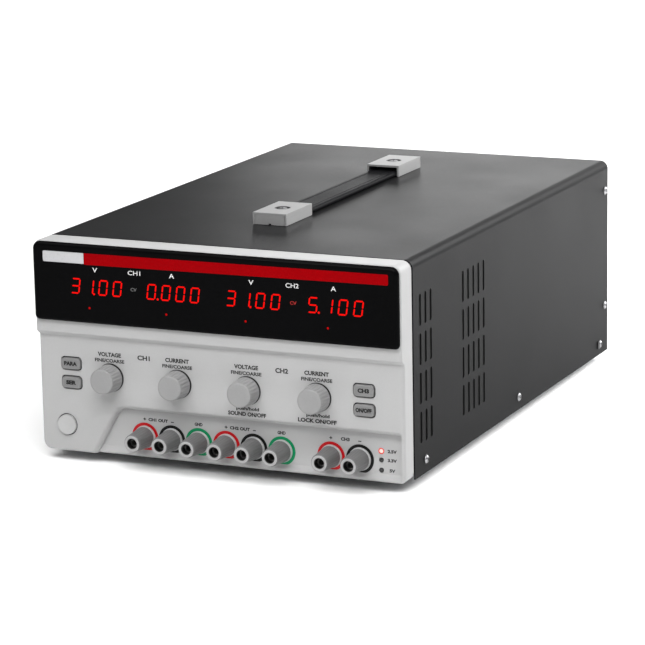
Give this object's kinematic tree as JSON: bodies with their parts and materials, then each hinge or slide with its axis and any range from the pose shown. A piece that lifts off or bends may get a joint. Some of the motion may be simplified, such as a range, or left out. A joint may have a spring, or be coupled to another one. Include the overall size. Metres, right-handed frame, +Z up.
{
  "type": "bench power supply",
  "caption": "Bench power supply with a glossy display strip, adjusting knobs, keys, a row of binding posts, vented cover and a top strap handle.",
  "frame": {"origin": "under the middle of the whole object, on the surface that its feet stand on", "axes": "+X to the right of someone facing the front panel, +Y from the front to the back, +Z up"},
  "size_m": [0.265, 0.4144, 0.1602],
  "materials": {
    "light_plastic": "satin",
    "mid_plastic": "satin",
    "dark_plastic": "satin",
    "black_gloss": "glossy",
    "cover_paint": "satin",
    "zinc_sheet": "satin",
    "bright_metal": "satin",
    "screw_steel": "satin",
    "shaft_metal": "satin",
    "brass": "polished",
    "strap_rubber": "satin",
    "foot_rubber": "matte",
    "circuit_board": "satin",
    "lamination_steel": "satin",
    "aluminium": "satin"
  },
  "bodies": {
    "case": {"base_pan": "zinc_sheet", "control_board": "circuit_board", "display_board": "circuit_board", "display_lens": "black_gloss", "encoder_1": "dark_plastic", "encoder_2": "dark_plastic", "encoder_3": "dark_plastic", "encoder_4": "dark_plastic", "fan_frame": "dark_plastic", "fan_guard": "bright_metal", "foot_front_left": "foot_rubber", "foot_front_right": "foot_rubber", "foot_rear_left": "foot_rubber", "foot_rear_right": "foot_rubber", "front_bezel": "light_plastic", "handle_cap_front": "bright_metal", "handle_cap_rear": "bright_metal", "handle_screw_front": "screw_steel", "handle_screw_rear": "screw_steel", "heat_sink": "aluminium", "main_board": "circuit_board", "mains_inlet": "dark_plastic", "post_1": "brass", "post_2": "brass", "post_3": "brass", "post_4": "brass", "post_5": "brass", "post_6": "brass", "post_7": "brass", "post_8": "brass", "power_switch": "dark_plastic", "rear_panel": "cover_paint", "strap_end_front": "strap_rubber", "top_cover": "cover_paint", "transformer": "lamination_steel"},
    "encoder_shaft_1": {"encoder_shaft_1": "shaft_metal"},
    "encoder_shaft_2": {"encoder_shaft_2": "shaft_metal"},
    "encoder_shaft_3": {"encoder_shaft_3": "shaft_metal"},
    "encoder_shaft_4": {"encoder_shaft_4": "shaft_metal"},
    "knob_1": {"knob_1": "mid_plastic"},
    "knob_2": {"knob_2": "mid_plastic"},
    "knob_3": {"knob_3": "mid_plastic"},
    "knob_4": {"knob_4": "mid_plastic"},
    "key_parallel": {"key_parallel": "mid_plastic"},
    "key_series": {"key_series": "mid_plastic"},
    "key_channel": {"key_channel": "mid_plastic"},
    "key_output": {"key_output": "mid_plastic"},
    "power_button": {"power_button": "light_plastic"},
    "post_cap_1": {"post_cap_1": "mid_plastic"},
    "post_cap_2": {"post_cap_2": "mid_plastic"},
    "post_cap_3": {"post_cap_3": "mid_plastic"},
    "post_cap_4": {"post_cap_4": "mid_plastic"},
    "post_cap_5": {"post_cap_5": "mid_plastic"},
    "post_cap_6": {"post_cap_6": "mid_plastic"},
    "post_cap_7": {"post_cap_7": "mid_plastic"},
    "post_cap_8": {"post_cap_8": "mid_plastic"},
    "fan_rotor": {"fan_rotor": "dark_plastic"},
    "strap_front": {"strap_front": "strap_rubber"},
    "strap_rear": {"strap_rear": "strap_rubber"},
    "strap_end_rear": {"strap_end_rear": "strap_rubber"}
  },
  "joints": [
    {"name": "encoder_1_push", "type": "slide", "parent": "case", "child": "encoder_shaft_1", "axis": [0, 1, 0], "range_m": [0, 0.0008], "stiffness_N_per_m": 600, "springref_m": -0.001},
    {"name": "knob_1_turn", "type": "hinge", "parent": "encoder_shaft_1", "child": "knob_1", "pos_m": [-0.0789, -0.1943, 0.0607], "axis": [0, 1, 0], "continuous": true},
    {"name": "encoder_2_push", "type": "slide", "parent": "case", "child": "encoder_shaft_2", "axis": [0, 1, 0], "range_m": [0, 0.0008], "stiffness_N_per_m": 600, "springref_m": -0.001},
    {"name": "knob_2_turn", "type": "hinge", "parent": "encoder_shaft_2", "child": "knob_2", "pos_m": [-0.0286, -0.1943, 0.0607], "axis": [0, 1, 0], "continuous": true},
    {"name": "encoder_3_push", "type": "slide", "parent": "case", "child": "encoder_shaft_3", "axis": [0, 1, 0], "range_m": [0, 0.0008], "stiffness_N_per_m": 600, "springref_m": -0.001},
    {"name": "knob_3_turn", "type": "hinge", "parent": "encoder_shaft_3", "child": "knob_3", "pos_m": [0.0217, -0.1943, 0.0607], "axis": [0, 1, 0], "continuous": true},
    {"name": "encoder_4_push", "type": "slide", "parent": "case", "child": "encoder_shaft_4", "axis": [0, 1, 0], "range_m": [0, 0.0008], "stiffness_N_per_m": 600, "springref_m": -0.001},
    {"name": "knob_4_turn", "type": "hinge", "parent": "encoder_shaft_4", "child": "knob_4", "pos_m": [0.072, -0.1943, 0.0607], "axis": [0, 1, 0], "continuous": true},
    {"name": "key_parallel_press", "type": "slide", "parent": "case", "child": "key_parallel", "axis": [0, 1, 0], "range_m": [0, 0.0006], "stiffness_N_per_m": 600, "springref_m": -0.001},
    {"name": "key_series_press", "type": "slide", "parent": "case", "child": "key_series", "axis": [0, 1, 0], "range_m": [0, 0.0006], "stiffness_N_per_m": 600, "springref_m": -0.001},
    {"name": "key_channel_press", "type": "slide", "parent": "case", "child": "key_channel", "axis": [0, 1, 0], "range_m": [0, 0.0006], "stiffness_N_per_m": 600, "springref_m": -0.001},
    {"name": "key_output_press", "type": "slide", "parent": "case", "child": "key_output", "axis": [0, 1, 0], "range_m": [0, 0.0006], "stiffness_N_per_m": 600, "springref_m": -0.001},
    {"name": "power_button_press", "type": "slide", "parent": "case", "child": "power_button", "axis": [0, 1, 0], "range_m": [0, 0.0025], "stiffness_N_per_m": 400, "springref_m": -0.002},
    {"name": "post_cap_1_open", "type": "slide", "parent": "case", "child": "post_cap_1", "axis": [0, -1, 0], "range_m": [0, 0.0045]},
    {"name": "post_cap_2_open", "type": "slide", "parent": "case", "child": "post_cap_2", "axis": [0, -1, 0], "range_m": [0, 0.0045]},
    {"name": "post_cap_3_open", "type": "slide", "parent": "case", "child": "post_cap_3", "axis": [0, -1, 0], "range_m": [0, 0.0045]},
    {"name": "post_cap_4_open", "type": "slide", "parent": "case", "child": "post_cap_4", "axis": [0, -1, 0], "range_m": [0, 0.0045]},
    {"name": "post_cap_5_open", "type": "slide", "parent": "case", "child": "post_cap_5", "axis": [0, -1, 0], "range_m": [0, 0.0045]},
    {"name": "post_cap_6_open", "type": "slide", "parent": "case", "child": "post_cap_6", "axis": [0, -1, 0], "range_m": [0, 0.0045]},
    {"name": "post_cap_7_open", "type": "slide", "parent": "case", "child": "post_cap_7", "axis": [0, -1, 0], "range_m": [0, 0.0045]},
    {"name": "post_cap_8_open", "type": "slide", "parent": "case", "child": "post_cap_8", "axis": [0, -1, 0], "range_m": [0, 0.0045]},
    {"name": "fan_spin", "type": "hinge", "parent": "case", "child": "fan_rotor", "pos_m": [-0.062, 0.1766, 0.085], "axis": [0, 1, 0], "continuous": true},
    {"name": "strap_lift", "type": "hinge", "parent": "case", "child": "strap_front", "pos_m": [-0.002, -0.0596, 0.1548], "axis": [1, 0, 0], "range_deg": [0, 22]},
    {"name": "strap_middle_bend", "type": "hinge", "parent": "strap_front", "child": "strap_rear", "pos_m": [-0.002, 0.01465, 0.1548], "axis": [1, 0, 0], "range_deg": [-44, 0]},
    {"name": "strap_rear_bend", "type": "hinge", "parent": "strap_rear", "child": "strap_end_rear", "pos_m": [-0.002, 0.0889, 0.1548], "axis": [1, 0, 0], "range_deg": [0, 22]}
  ],
  "couplings": [
    {"joint": "strap_middle_bend", "follows": "strap_lift", "ratio": -2},
    {"joint": "strap_rear_bend", "follows": "strap_lift", "ratio": 1}
  ]
}
